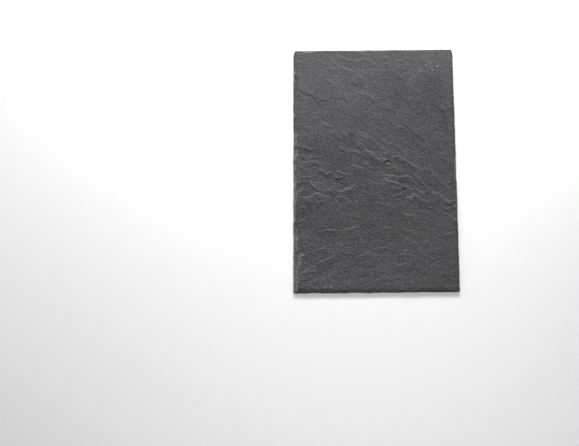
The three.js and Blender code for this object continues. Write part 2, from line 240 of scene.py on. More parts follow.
# The broken edges of the cleavage sheets: each sheet lies to the left of its edge, walking
# through its points. Then its run, how far it reaches, and its rise at the broken edge.
FACE_SHEETS = [
    # head end
    ([(-10.5, 139), (-14, 139), (-19, 138.5), (-22.5, 137.5), (-26.5, 136.5), (-31.5, 136.5),
      (-35, 138), (-39, 140), (-42.5, 141), (-46.5, 142.5), (-54, 143.5)], 16, 1.0),
    ([(-26, 121), (-32.5, 125), (-39, 127.5), (-44, 130), (-49, 132.5), (-51.5, 135),
      (-52.5, 138), (-55, 140.5), (-58.5, 143.5)], 24, 1.0),
    ([(-90, 132.5), (-92.5, 135), (-96, 136.5), (-99.5, 138), (-103.5, 140)], 12, 0.7),
    ([(-61, 131), (-66, 135), (-68.5, 135.5), (-72.5, 136)], 12, 0.5),
    ([(-104.5, 101.5), (-98.5, 100), (-92.5, 98), (-87.5, 96), (-82.5, 94), (-78.5, 91),
      (-76, 87.5), (-72.5, 84), (-69, 79)], 27, 0.8),
    ([(-76, 92.5), (-72.5, 89.5), (-68.5, 87.5), (-63.5, 87.5), (-58.5, 85), (-54, 84)], 12,
      0.7),
    ([(-52.5, 89.5), (-46.5, 91), (-41.5, 91), (-39, 89), (-35, 86)], 12, 0.7),
    ([(-34, 90), (-36.5, 92), (-40, 94.5), (-45, 95)], 12, 0.4),
    ([(-45, 105), (-47.5, 106.5), (-51.5, 109), (-54, 110), (-57.5, 112), (-61, 114.5)], 12,
      0.7),
    ([(-63.5, 111.5), (-60, 109.5), (-55, 106.5)], 12, 0.4),
    ([(-39, 103), (-41.5, 104.5), (-45, 105)], 9, 0.4),
    ([(-32.5, 110.5), (-29, 108), (-26.5, 106.5), (-21.5, 105.5)], 12, 0.7),
    ([(-14, 112.5), (-18, 115.5), (-20, 118), (-24, 121)], 15, 0.8),
    ([(-51.5, 125.5), (-54, 126), (-57.5, 127), (-62.5, 128)], 4, 0.7),
    ([(-55, 121), (-58.5, 122), (-62.5, 123)], 8, 0.4),
    ([(3.5, 128.5), (-1.5, 132.5), (-4, 135), (-8, 138)], 12, 0.7),
    ([(-24, 96), (-20, 94.5), (-16.5, 93.5), (-11.5, 90)], 15, 0.5),
    ([(3.5, 84), (1, 86.5), (-3, 90), (-8, 92.5), (-13, 94.5)], 14, 0.7),
    ([(34.5, 114), (30.5, 117.5), (28, 120), (24.5, 123.5)], 12, 0.7),
    ([(38, 127.5), (33, 128), (29.5, 128.5)], 9, 0.5),
    ([(39.5, 130.5), (34.5, 131)], 8, 0.4),
    ([(22, 130), (17, 130.5), (12, 133), (8.5, 135)], 12, 0.4),
    ([(48, 118), (50.5, 119.5), (53, 120), (57, 120.5), (60.5, 118.5), (65.5, 116.5),
      (70.5, 115)], 10, 0.7),
    ([(-0.5, 89), (2, 89), (6, 88.5), (9.5, 89), (13.5, 91), (17, 92.5), (22, 92.5)], 15, 0.7),
    ([(-1.5, 81.5), (1, 80), (6, 77.5), (11, 76.5), (16, 76.5), (19.5, 74), (24.5, 71.5)], 15,
      0.7),
    ([(45.5, 98), (48, 97.5), (50.5, 96), (55.5, 93.5)], 9, 0.7),
    ([(75.5, 80), (78, 76.5), (80.5, 73.5), (83, 72), (85.5, 71.5)], 12, 0.9),
    ([(85.5, 71), (88, 71.5), (93, 71.5)], 9, 0.7),
    ([(83, 72), (86, 75), (90, 77.5), (95, 79)], 8, 0.6),
    ([(47, 75.5), (44.5, 78.5), (40.5, 82.5)], 9, 0.5),
    ([(81.5, 126), (78, 130), (75.5, 133), (71.5, 137.5)], 9, 0.4),
    ([(32, 107.5), (35.5, 104.5), (40.5, 101.5)], 9, 0.5),
    ([(19.5, 137.5), (14.5, 140.5), (9.5, 141.5), (3.5, 142.5)], 12, 0.4),
    ([(-72.5, 77.5), (-75, 80), (-76, 84), (-78.5, 87), (-82.5, 91.5)], 12, 0.4),
    ([(-92.5, 68), (-96, 72), (-99.5, 74)], 9, 0.4),
    ([(-71, 66), (-75, 66.5), (-81, 67)], 9, 0.4),
    # above the middle
    ([(-57.5, 58), (-60, 58.5), (-63.5, 59), (-67.5, 61), (-71, 63)], 13, 0.7),
    ([(-63.5, 55), (-60, 55), (-55, 53.5)], 8, 0.7),
    ([(-41.5, 39), (-45, 42.5), (-49, 46.5), (-51.5, 49)], 10, 0.7),
    ([(-45, 48.5), (-42.5, 46.5), (-40, 44), (-36.5, 40.5)], 9, 0.7),
    ([(-30, 74), (-32.5, 76.5), (-36.5, 79), (-40, 81.5), (-44, 85)], 13, 0.5),
    ([(-34, 71.5), (-37.5, 73.5), (-40, 75.5)], 8, 0.5),
    ([(-21.5, 68), (-25, 69.5), (-29, 71)], 8, 0.5),
    ([(26, 61), (32, 58), (38, 54.5), (45, 49.5), (50, 44.5), (55, 39.5), (61, 34.5), (67, 28)],
      12, 0.8),
    ([(42, 49), (39.5, 51), (35.5, 53), (32, 55), (27, 56), (23, 58.5), (18.5, 62),
      (14.5, 65.5)], 13, 0.7),
    ([(20.5, 52.5), (23, 51), (28, 48.5)], 8, 0.7),
    ([(32, 25.5), (30.5, 28), (28, 30.5), (25.5, 32), (22, 34.5)], 8, 0.8),
    ([(42, 17), (39.5, 19.5), (35.5, 22), (33, 24.5), (29.5, 28)], 10, 0.7),
    ([(7, 19.5), (9.5, 20), (12, 20.5), (17, 23.5)], 8, 0.7),
    ([(12, 27), (8.5, 28.5), (6, 30), (2, 30.5)], 8, 0.7),
    ([(20.5, 33), (16, 35), (12, 35.5), (9.5, 38), (6, 40.5)], 10, 0.8),
    ([(-25, 48), (-22.5, 45.5), (-19, 43), (-14, 39), (-9, 37)], 13, 0.7),
    ([(-8, 33), (-10.5, 34.5), (-14, 37.5), (-19, 40.5), (-24, 43)], 10, 0.5),
    ([(-10.5, 41.5), (-6.5, 38), (-3, 34.5), (2, 31)], 10, 0.5),
    ([(69, 25.5), (66.5, 28.5), (64, 32), (61.5, 34.5), (58, 38)], 13, 0.8),
    ([(84, 30), (79, 32), (75.5, 35.5)], 10, 0.5),
    ([(83, 19.5), (78, 23), (74, 27)], 10, 0.4),
    ([(91.5, 9.5), (85.5, 14.5), (81.5, 17), (78, 18)], 10, 0.5),
    ([(58, 17), (54.5, 17.5), (52, 17)], 4, 0.8),
    ([(-101, 32), (-98.5, 30.5), (-95, 28.5), (-90, 27.5), (-85, 25.5), (-77.5, 24.5)], 10, 0.8),
    ([(-80, 28), (-85, 29.5), (-90, 30.5), (-93.5, 31)], 8, 0.5),
    # the middle
    ([(16, 14.5), (13.5, 15), (9.5, 16.5), (6, 17), (2, 17), (-1, 19), (-4, 22.5), (-8, 24.5),
      (-11.5, 26), (-14, 28.5), (-16.5, 32), (-19, 34.5), (-21.5, 36), (-25, 39)], 14, 1.9),
    ([(53, 2), (49.5, 5.5), (45.5, 8), (42, 10.5), (38, 12.5), (34.5, 15), (30.5, 17), (28, 19),
      (23, 19), (17, 18)], 7, 1.3),
    ([(24.5, 7.5), (22, 7), (18.5, 5.5), (16, 4.5), (11, 5)], 6, 0.7),
    ([(-50, 32), (-46.5, 29.5), (-42.5, 26), (-36.5, 23.5), (-31.5, 23.5), (-27.5, 23),
      (-22.5, 20.5), (-16.5, 17), (-13, 14.5), (-8, 12)], 9, 0.8),
    ([(-40, 27), (-42.5, 28.5), (-45, 30.5), (-47.5, 32.5)], 9, 0.7),
    ([(-97, 18), (-95, 17.5), (-90, 15), (-85, 14), (-80, 16.5), (-75, 16.5), (-68.5, 16.5)], 10,
      0.8),
    ([(-71, 9.5), (-72.5, 10.5), (-73.5, 13), (-77.5, 14.5)], 7, 0.7),
    ([(-91, 5), (-88.5, 5), (-82.5, 7), (-75, 9.5), (-71, 10)], 12, 0.7),
    ([(-101, 2), (-99.5, 4), (-97, 5), (-93.5, 3), (-91, 0), (-88.5, -1.5)], 9, 0.6),
    ([(-55, 3), (-56, 0.5), (-58.5, -1.5), (-62, -2), (-64.5, -0.5), (-66.5, 1.5), (-70, 3.5)],
      6, 1.9),
    ([(-40, -4), (-42, -6), (-46.5, -7.5), (-50, -6.5), (-52.5, -4), (-54, -0.5)], 4, 1.7),
    ([(-40, -5), (-41.5, -3), (-44, -1), (-48, 0.5), (-53, 0)], 2.5, 1.1),
    ([(-77.5, -7.5), (-82.5, -6.5), (-88.5, -6.5), (-95, -8.5), (-99.5, -8)], 7, 0.6),
    ([(-76, -14), (-81, -12.5), (-86, -11), (-90, -10.5), (-96, -12.5), (-101, -15.5),
      (-104.5, -19)], 9, 0.5),
    ([(-68.5, -18), (-71, -19.5), (-73.5, -21), (-76, -18), (-80, -14), (-81, -11.5)], 7, 0.8),
    ([(-83.5, -14), (-81, -16.5), (-78.5, -19.5), (-76, -22), (-72.5, -24), (-67.5, -24.5)], 10,
      0.8),
    ([(-50, -14), (-51.5, -16), (-52.5, -18.5), (-55, -21.5), (-58.5, -22), (-62.5, -23),
      (-67.5, -23.5)], 14, 1.8),
    ([(-25, -15), (-27.5, -16.5), (-30, -18), (-34, -20.5), (-37.5, -21), (-41.5, -23),
      (-46.5, -23.5), (-51.5, -23)], 18, 1.6),
    ([(-19, -16.5), (-21.5, -17.5), (-25, -18)], 3, 1.2),
    ([(-56.5, -31.5), (-61, -30.5), (-65, -29), (-68.5, -28), (-73.5, -26.5), (-78.5, -28.5),
      (-82.5, -30.5), (-86, -31.5), (-92.5, -31), (-98.5, -30.5)], 30, 1.9),
    ([(-25, -40), (-29, -39.5), (-32.5, -38), (-37.5, -34), (-42.5, -31.5), (-46.5, -30.5),
      (-52.5, -30.5)], 10, 0.8),
    ([(-41.5, -42.5), (-44, -41.5), (-47.5, -38), (-50, -34), (-52.5, -31.5)], 9, 0.7),
    ([(-60, -38), (-65, -36), (-71, -36.5), (-76, -39)], 12, 0.4),
    ([(-9, 9.5), (-13, 9.5), (-18, 10)], 6, 0.7),
    ([(-1.5, 4.5), (-6.5, 5.5), (-11.5, 5.5)], 6, 0.5),
    ([(53, -19), (50.5, -16.5), (48, -14), (44.5, -10.5), (42, -8), (39.5, -6), (35.5, -5.5),
      (30.5, -5.5), (25.5, -5.5), (20.5, -5), (13.5, -4), (6, -3.5)], 12, 1.5),
    ([(44.5, -23.5), (40.5, -21), (37, -18.5), (34.5, -17.5), (30.5, -16), (28, -15),
      (24.5, -13), (20.5, -12.5), (16, -11.5), (11, -10), (8.5, -6.5)], 21, 1.9),
    ([(16, 5.5), (18.5, 2.5), (20.5, -0.5), (24.5, -2.5), (29.5, -3.5)], 12, 0.8),
    ([(65.5, -38), (60.5, -35.5), (58, -34.5), (55.5, -33.5), (53, -31.5), (50.5, -29.5),
      (48, -28), (44.5, -27), (40.5, -28)], 14, 2.1),
    ([(44.5, -29.5), (42, -31), (39.5, -31.5), (35.5, -33)], 14, 1.5),
    ([(59, -30.5), (57, -28), (54.5, -25.5), (50.5, -23), (48, -20.5), (44.5, -17.5)], 9, 1.2),
    ([(68, -45), (65.5, -44), (63, -42), (60.5, -39)], 7, 0.8),
    ([(32, -28), (27, -28.5), (22, -30.5), (17, -29.5)], 7, 0.7),
    ([(29.5, -34), (24.5, -34.5), (20.5, -33.5)], 7, 0.6),
    ([(101.5, -36), (96.5, -35.5), (91.5, -35.5), (86.5, -34), (84, -32), (81.5, -30.5),
      (78, -28), (74, -26), (69, -24.5), (66.5, -22), (64, -19.5), (61.5, -17.5), (59, -15),
      (55.5, -11.5)], 30, 2.2),
    ([(93, -40), (89, -38), (85.5, -35.5), (81.5, -33)], 9, 0.7),
    ([(58, -13), (54.5, -10.5), (52, -8), (48, -5), (44.5, -0.5)], 9, 0.8),
    ([(91.5, -21.5), (89, -19), (85.5, -15.5), (83, -13), (79, -10.5), (75.5, -8), (71.5, -5.5),
      (65.5, -4)], 12, 0.7),
    # the tail end
    ([(55.5, -59), (53, -57.5), (49.5, -56.5), (47, -55), (44.5, -53.5), (40.5, -53.5),
      (37, -52.5), (30.5, -51.5)], 18, 0.9),
    ([(61.5, -63), (58, -62.5), (52, -60.5)], 10, 0.4),
    ([(50.5, -78.5), (48, -77.5), (45.5, -75.5), (43, -74), (40.5, -72), (37, -72), (33, -70),
      (28, -70)], 13, 0.9),
    ([(58, -69), (48, -69)], 8, 0.4),
    ([(19.5, -70), (13.5, -68), (7, -67.5)], 10, 0.3),
    ([(90.5, -43.5), (85.5, -44.5), (79, -45)], 10, 0.5),
    ([(100, -58), (95.5, -59.5), (90.5, -57.5)], 8, 0.6),
    ([(83, -66.5), (79, -64.5), (75.5, -64)], 6, 0.5),
    ([(-21.5, -67.5), (-25, -68), (-29, -69), (-34, -70), (-39, -70.5), (-42.5, -72),
      (-47.5, -72.5)], 23, 1.1),
    ([(-46.5, -73), (-51.5, -72.5), (-56.5, -72), (-61, -71.5), (-65, -70)], 10, 0.9),
    ([(-61, -67.5), (-66, -67), (-70, -68)], 8, 0.6),
    ([(-83.5, -63), (-86, -61.5), (-88.5, -60), (-92.5, -60), (-96, -61.5), (-99.5, -64.5)], 10,
      0.6),
    ([(-56.5, -92.5), (-58.5, -94.5), (-62.5, -94.5), (-66, -94.5), (-70, -95), (-75, -95)], 13,
      0.6),
    ([(-70, -92.5), (-77.5, -89.5), (-83.5, -90), (-88.5, -91), (-95, -91)], 13, 0.4),
    ([(-80, -99), (-85, -100), (-88.5, -101.5)], 8, 0.5),
    ([(-83.5, -81), (-87.5, -82.5), (-92.5, -84.5)], 8, 0.5),
    ([(-40, -89.5), (-46.5, -89.5), (-51.5, -88.5)], 10, 0.4),
    ([(2, -102.5), (-1.5, -101.5), (-6.5, -101), (-11.5, -101), (-15.5, -102.5), (-20, -102.5),
      (-26.5, -103)], 10, 0.6),
    ([(-4, -98), (-9, -98.5), (-15.5, -100), (-20, -100)], 13, 0.5),
    ([(19.5, -95.5), (17, -95), (13.5, -94.5), (9.5, -93), (4.5, -93), (-0.5, -94.5),
      (-5.5, -95)], 10, 0.6),
    ([(22, -98.5), (20.5, -95), (19.5, -91), (17, -88.5), (13.5, -90)], 8, 0.5),
    ([(-45, -98.5), (-42.5, -100), (-36.5, -102.5), (-29, -103.5), (-24, -106)], 13, 0.6),
    ([(-32.5, -101), (-35, -100), (-39, -99), (-44, -99)], 8, 0.4),
    ([(-16.5, -108.5), (-19, -107.5), (-21.5, -105.5), (-25, -103.5)], 10, 0.6),
    ([(-49, -102.5), (-54, -103.5), (-57.5, -105.5), (-61, -107.5), (-65, -109), (-68.5, -110.5),
      (-72.5, -112.5), (-77.5, -114)], 21, 1),
    ([(-78.5, -115), (-81, -118), (-83.5, -120.5), (-86, -121.5), (-90, -123.5), (-92.5, -124),
      (-95, -125.5), (-96.5, -128), (-97, -131), (-97.5, -134.5), (-98, -139), (-98.5, -146)], 18,
      1.4),
    ([(-50, -121.5), (-55, -124), (-57.5, -126.5), (-62.5, -129)], 10, 0.5),
    ([(-65, -129.5), (-71, -131), (-77.5, -131)], 10, 0.5),
    ([(-73.5, -119.5), (-77.5, -123), (-81, -124.5)], 8, 0.6),
    ([(-8, -73), (-13, -75), (-15.5, -77.5), (-19, -79.5)], 10, 0.5),
    ([(6, -121), (2, -121), (-1.5, -119.5)], 8, 0.5),
    ([(97.5, -77), (91.5, -75.5), (86.5, -76.5), (83, -78), (81.5, -81)], 10, 0.6),
    ([(69, -104), (63, -103), (59, -102.5), (54.5, -100.5)], 10, 0.6),
    ([(43, -101.5), (37, -101), (33, -100.5), (28, -101)], 13, 0.6),
    ([(40.5, -98), (35.5, -97.5), (32, -96)], 10, 0.5),
    ([(53, -87.5), (50.5, -87), (45.5, -87.5), (40.5, -88)], 13, 0.6),
    ([(39.5, -114), (37, -113.5), (32, -113.5), (28, -115), (24.5, -117)], 10, 0.6),
    ([(49.5, -135.5), (42, -135.5), (37, -136), (32, -134.5)], 12, 0.6),
    ([(57, -131), (54.5, -127), (52, -123.5)], 10, 0.4),
    ([(40.5, -85), (38, -83), (35.5, -80)], 8, 0.4),
]
# A sheet thins by this power on its way to its far end, where it lies this far under the face.
THINNING, BURIAL = 1.2, 0.3
# A break is as sharp as the grid can show. Its brink is pale over this half width, by so much for
# each millimetre of its rise, up to a limit: the paleness of broken stone, and a painted
# highlight where the brink faces the light.
FACE_BREAK = 0.3
BRINK_WIDTH, BRINK_PALENESS_AND_HIGHLIGHT, BRINK_LIMIT = 0.55, 0.65, 1.1
# A sheet higher than this has a second break set back in it, and each has its share of the rise.
HIGH_SHEET, LOWER_SHARE, UPPER_SHARE = 1, 0.88, 0.24
# How much of a sheet's height counts in the level.
SHEET_LEVEL = 0.3


def catmull_rom(points, steps=10):
    """A smooth line through the points, as an array."""
    pts = np.array([points[0], *points, points[-1]], float)
    t = np.linspace(0, 1, steps, endpoint=False)[:, None]
    spans = []
    for a, b, c, d in zip(pts, pts[1:], pts[2:], pts[3:]):
        spans.append(0.5 * (2 * b + (c - a) * t + (2 * a - 5 * b + 4 * c - d) * t ** 2
                            + (3 * b - a - 3 * c + d) * t ** 3))
    return np.concatenate([*spans, pts[-1:]])


def sheet_height(px, py, edge, run, rise, sharpness, back=0.0):
    """Height of one cleavage sheet over the surface around it, and how near its broken edge
    each point lies, from 0 to 1."""
    line = catmull_rom(edge)
    start, chord = line[0], line[-1] - line[0]
    reach = np.hypot(*chord)
    chord = chord / reach
    inward = np.array([-chord[1], chord[0]])
    beside = (px - start[0]) * chord[0] + (py - start[1]) * chord[1]
    broken_edge = np.interp(beside, (line - start) @ chord, (line - start) @ inward)
    past = (px - start[0]) * inward[0] + (py - start[1]) * inward[1] - broken_edge - back
    u, v = beside / reach, past / run
    arch = np.sqrt(np.sin(np.pi * np.clip(u, 0, 1)))
    height = (rise + BURIAL) * arch * np.clip(1 - v, 0, 1) ** THINNING - BURIAL
    height = np.maximum(height, 0)
    on_sheet = (u > 0) & (u < 1) & (v < 1)
    height = np.where(on_sheet, height * smooth(past, -sharpness, sharpness), 0)
    return height, np.exp(-(past / BRINK_WIDTH) ** 2) * arch


# The lines of the face wander in waves, given by their height and length, and wander more in the
# tail half. Breaks have a share of that and are nibbled too, vary in height along their length,
# and show less towards the head. The second break of a high sheet lies this far back, more or
# less by its own waves.
WANDER_ACROSS, WANDER_UP = ((2.6, 10), (1.3, 4.2)), ((2.2, 10), (1.2, 4.2))
TAIL_WANDER, BREAK_WANDER = 0.8, 0.35
NIBBLES = ((0.4, 2.6),)
BREAK_VARIETY = ((0.6, 5),)
SET_BACK, SET_BACK_WAVES = 2.6, ((2.6, 7),)
HEAD_FAINTNESS = 0.3
lower = 1 - smooth(y, -110, 0)
loose = 1 + TAIL_WANDER * lower
shift_x = loose * waves_at(WANDER_ACROSS, 21)
shift_y = loose * waves_at(WANDER_UP, 23)
nibble_x = BREAK_WANDER * shift_x / loose + waves_at(NIBBLES, 25)
nibble_y = BREAK_WANDER * shift_y / loose + waves_at(NIBBLES, 26)
vary = 1 + waves_at(BREAK_VARIETY, 27)
set_back = SET_BACK + waves_at(SET_BACK_WAVES, 28)
faint = 1 - HEAD_FAINTNESS * smooth(y, 30, 110)
brinks_and_highlights = np.zeros(len(x))
for edge, run, rise in FACE_SHEETS:
    sheet, brink = sheet_height(x + nibble_x, y + nibble_y, edge, run, rise, FACE_BREAK)
    if rise > HIGH_SHEET:
        upper, _ = sheet_height(x + nibble_x, y + nibble_y, edge, run, rise, FACE_BREAK,
                                set_back)
        sheet = LOWER_SHARE * sheet + UPPER_SHARE * upper
    face += vary * sheet
    level_and_painted_shading = level_and_painted_shading + SHEET_LEVEL * sheet
    # An edge that is walked from right to left faces the head and its light, and only such a
    # brink is
    # pale: partly the paleness of broken stone, partly a painted highlight.
    if edge[-1][0] < edge[0][0]:
        shown = faint * brink * vary * min(BRINK_PALENESS_AND_HIGHLIGHT * rise, BRINK_LIMIT)
        brinks_and_highlights = np.maximum(brinks_and_highlights, shown)

# Stairs of thin sheets across the grain: how wide a tread is, how far a step runs along the
# grain, how many treads its line wanders over, and how much of a tread its drop takes. Then how
# high a step is, and how much higher where the stone is broken up.
COARSE_TREAD, COARSE_RUN, COARSE_WANDER, COARSE_DROP = 18, 85, 1.0, 0.05
COARSE_RISE, COARSE_MORE = 0.16, 0.20
FINE_TREAD, FINE_RUN, FINE_WANDER, FINE_DROP = 8, 34, 1.1, 0.08
FINE_RISE, FINE_MORE = 0.07, 0.10
BACK_TREAD, BACK_RUN, BACK_WANDER, BACK_DROP = 13, 28, 1.5, 0.1
BACK_RISE = 0.17
# Size of the broken-up places, and how much lower the stairs are in the tail half and at the
# head. Along the grain their lines shift by so many times the face's own wander.
BROKEN_UP_LONG, BROKEN_UP_WIDE = 50, 30
TAIL_CALM, HEAD_CALM = 0.20, 0.45
STAIR_SHIFT = 2
# The lip of a step is pale, and more so where the stone is broken up. The last two pairs are
# where the lip lies on its tread and its half width, as shares of the tread.
LIP_PALENESS, LIP_MORE = 0.12, 0.38
COARSE_LIP, FINE_LIP = (0.97, 0.035), (0.95, 0.07)


def terraces(field, drop):
    """A field turned to a staircase whose treads tip back: a slow rise, then a steep drop."""
    frac = field - np.floor(field)
    return frac - smooth(frac, 1 - drop, 1) - 0.5 * (1 - drop / 2)


a, b = along + STAIR_SHIFT * shift_x, across + shift_y
broken_up = smooth(fractal_at(along / BROKEN_UP_LONG, across / BROKEN_UP_WIDE, 31.0, 2),
                   -0.3, 0.4)
quiet = 1 - TAIL_CALM * lower - HEAD_CALM * smooth(y, 0, 120)
coarse = b / COARSE_TREAD + COARSE_WANDER * fractal_at(a / COARSE_RUN, b / COARSE_TREAD, 41.0, 4)
face += quiet * (COARSE_RISE + COARSE_MORE * broken_up) * terraces(coarse, COARSE_DROP)
fine = b / FINE_TREAD + FINE_WANDER * fractal_at(a / FINE_RUN, b / FINE_TREAD, 51.0, 3, 0.55)
face += quiet * (FINE_RISE + FINE_MORE * broken_up) * terraces(fine, FINE_DROP)
for steps, (lip, half) in ((coarse, COARSE_LIP), (fine, FINE_LIP)):
    brink = np.exp(-((steps - np.floor(steps) - lip) / half) ** 2)
    shown = quiet * (LIP_PALENESS + LIP_MORE * broken_up) * vary * brink
    brinks_and_highlights = np.maximum(brinks_and_highlights, shown)
# Where the stone is whole, some steps drop the other way.
backward = b / BACK_TREAD + BACK_WANDER * fractal_at(a / BACK_RUN, b / BACK_TREAD, 55.0, 3, 0.6)
face += quiet * BACK_RISE * (1 - broken_up) * terraces(-backward, BACK_DROP)

# The finest relief, each with its height, length and width: furrows along the grain, the pecked
# stone of the tail half, which is higher at its end, and grains all over, higher where the stone
# is worn. Weather has left the tail rougher and the head smoother.
FURROW, FURROW_LONG, FURROW_WIDE = 0.09, 7, 1.9
PECK, PECK_AT_TAIL, PECK_LONG, PECK_WIDE = 0.18, 0.11, 6, 4.3
GRAIN, WORN_GRAIN, GRAIN_LONG, GRAIN_WIDE = 0.31, 0.08, 2.2, 1.8
TAIL_WEAR, HEAD_WEAR = 0.35, 0.5
tail_end = 1 - smooth(y, -130, -75)
wear = 1 + TAIL_WEAR * (1 - smooth(y, -125, -75)) - HEAD_WEAR * smooth(y, 80, 125)
face += FURROW * quiet * fractal_at(a / FURROW_LONG, b / FURROW_WIDE, 61.0, 2, 0.7)
pecks = fractal_at(x / PECK_LONG, y / PECK_WIDE, 64.0, 3, 0.75)
face += (PECK * lower + PECK_AT_TAIL * tail_end) * pecks
grains = noise_at(x / GRAIN_LONG, y / GRAIN_WIDE, 66.0)
face += (GRAIN + WORN_GRAIN * (wear - 1)) * grains

# Small pits and proud grains: place, radius, height. A pit is painted dark as shade, and a grain
# pale.
SPOTS = [
    ((-30.5, 43.2), 1.9, -1.3), ((-33.5, 45.2), 1.3, -0.7), ((13.5, 12), 1.7, -1.2),
    ((34, -22), 1.7, -0.8), ((91, -16), 1.5, -1.1), ((65, -17), 1.3, -0.6),
    ((55, 15), 1.4, -0.6), ((-100, 114), 2.0, -1.2), ((72, 127), 1.3, -0.7),
    ((52, 70), 2.0, -0.5), ((74, 51), 1.5, -0.6), ((84, -131), 1.6, -0.6),
    ((30.5, 133.5), 1.1, -0.5), ((39.5, 116.5), 1.2, -0.6), ((59, 99), 1.1, -0.5),
    ((-71, -2), 1.4, -0.8), ((-60, -4), 1.3, -0.6), ((-21.5, -19), 1.6, -1.0),
    ((-40, -8), 1.2, -0.6), ((68, -112), 1.1, -0.5), ((74, 129), 1.2, 0.7),
    ((60.5, 131), 1.0, 0.6), ((65.5, 134), 1.2, 0.6), ((14, 9.5), 1.0, 0.6),
    ((69, 125), 1.1, 0.6), ((66.5, 127.5), 0.9, 0.4), ((54.5, 124), 0.9, 0.5),
    ((40.5, 114), 0.9, 0.4), ((-92.5, -21.5), 1.1, 0.5), ((-95, -24), 1.0, 0.5),
    ((-37.5, -39), 1.0, 0.5), ((-25, -36.5), 1.0, 0.4), ((-46.5, -45), 1.2, 0.5),
    ((11, -9), 1.0, 0.5), ((19.5, -44), 1.0, 0.5), ((96.5, -42.5), 1.4, 0.7),
    ((-21.5, -78), 0.9, 0.6), ((-20, -82.5), 0.9, 0.5), ((-33, -136), 1.3, 0.5),
    ((-57.5, -91), 0.9, 0.4), ((-77, -117), 1.3, 0.5), ((-98, -131.5), 1.5, 0.6),
    ((2, -15), 1.0, 0.4), ((40.5, -63), 1.1, 0.4), ((36, -108), 1.0, 0.4),
    ((68, -116), 1.1, 0.4), ((-90, 63), 0.9, 0.5), ((-54, 50), 1.1, 0.5),
    ((-101, -137), 1.1, 0.5), ((-64, -142.5), 1.5, 0.6), ((-56.5, -142.5), 1.4, 0.6),
    ((-75, -142.5), 1.0, 0.5), ((-39, -136.5), 0.9, 0.4), ((52, -95), 1.0, 0.4),
    ((74, -115), 0.9, 0.4), ((86.5, -141), 1.0, 0.5), ((35.5, -97.5), 0.9, 0.4),
    ((43, -89.5), 0.9, 0.4), ((90, -13), 1.0, 0.5), ((71.5, -25.5), 1.0, 0.5),
    ((-70, -28), 1.0, 0.5), ((38, -31.5), 1.0, 0.4), ((-47.5, -31.5), 1.0, 0.4),
    ((25.5, -14), 1.0, 0.4), ((-30, -69), 1.0, 0.4), ((95.5, -59), 1.0, 0.5),
    ((38, -19), 0.9, 0.5), ((-96, -103.5), 1.0, 0.5),
]
# How pale a proud grain is, and how much painted shade lowers the level in a pit, for each
# millimetre of height.
GRAIN_PALENESS, PIT_PAINTED_SHADE = 3.6, 10.0
for (cx, cy), radius, rise in SPOTS:
    spot = np.exp(-((x - cx) ** 2 + (y - cy) ** 2) / radius ** 2)
    face += rise * spot
    if rise > 0:
        brinks_and_highlights = np.maximum(brinks_and_highlights, GRAIN_PALENESS * rise * spot)
    else:
        # Painted shade in the pit.
        level_and_painted_shading = level_and_painted_shading + PIT_PAINTED_SHADE * rise * spot

# Painted shade and painted light: places made darker or paler to give the face's broad shading,
# with no change of shape. Centre, half sizes, change of level.
PATCHES = [
    ((0, 30), 160, 75, -0.7), ((74, 84), 22, 22, -1.2), ((-6, -18), 26, 18, -0.7),
    ((-66, -66), 26, 18, -0.6), ((42, 96), 30, 24, -1.1), ((-39, 73), 14, 16, -1.0),
    ((38, -7), 18, 13, -1.7), ((-58, 5), 22, 16, -0.8), ((-39, -25), 12, 8, 0.7),
    ((9, 67), 12, 9, 1.0), ((-38, 49), 12, 8, 0.8), ((30, -79), 14, 9, -0.9),
    ((9, -50), 12, 16, -0.6), ((84, -132), 14, 9, -0.9), ((-94, -130), 14, 15, 1.4),
    ((72, -17), 24, 15, -1.4), ((-84, -82), 14, 16, -0.6), ((-37, 139), 16, 9, 1.0),
    ((-37, -135), 14, 9, 1.1), ((38, -110), 20, 11, 0.8),
]
# The painted shade and light go into the level.
for (cx, cy), wide, high, change in PATCHES:
    level_and_painted_shading = level_and_painted_shading + change * np.exp(-((x - cx) / wide) ** 2 - ((y - cy) / high) ** 2)

# --- The slate: its dressed edges --------------------------------------------------------------
# The knife's blows break a row of chips from the face along each edge, so the edge is bevelled
# chip by chip down to a thin wall, and the stone's laminae show as fine steps in the break.

# How far in the blows reach, against the place along each edge. The left edge has long, pale
# spalls towards its tail, and the head is only nibbled.
TAIL_BEVEL = ((-103, 4.1), (103, 4.7))
HEAD_BEVEL = ((-103, 1.0), (-93, 1.0), (-91, 3.4), (-80, 3.2), (-78, 1.0), (-26, 1.0), (-23, 2.8),
              (-15, 2.8), (-13, 1.0), (36, 1.0), (39, 2.0), (53, 1.8), (56, 1.0), (103, 1.0))
LEFT_BEVEL = ((-150, 4.0), (-138, 4.6), (-130, 5.6), (-125, 7.0), (-121, 5.0), (-117, 7.6),
              (-113, 10.2), (-99, 10.2), (-94, 6.4), (-84, 6.0), (-80, 6.8), (-72, 5.0),
              (-68, 1.8), (-64, 1.6), (-58, 4.3), (-54, 3.0), (-38, 3.2), (-35, 5.5), (-25, 5.5),
              (-22, 4.3), (-7, 4.3), (-2, 1.5), (5, 3.7), (10, 1.8), (14, 2.5), (26, 7.4),
              (28, 1.0), (33, 2.5), (37, 5.0), (42, 5.0), (47, 7.4), (50, 1.0), (67, 1.0),
              (70, 3.2), (74, 1.0), (108, 1.0), (114, 3.0), (118, 1.5), (123, 3.4), (127, 1.0),
              (150, 1.0))
RIGHT_BEVEL = ((-150, 2.2), (-60, 1.6), (-30, 1.8), (-25, 3.4), (-20, 1.2), (-6, 3.4), (16, 3.8),
               (20, 1.5), (90, 1.5), (95, 2.4), (100, 1.5), (150, 1.5))
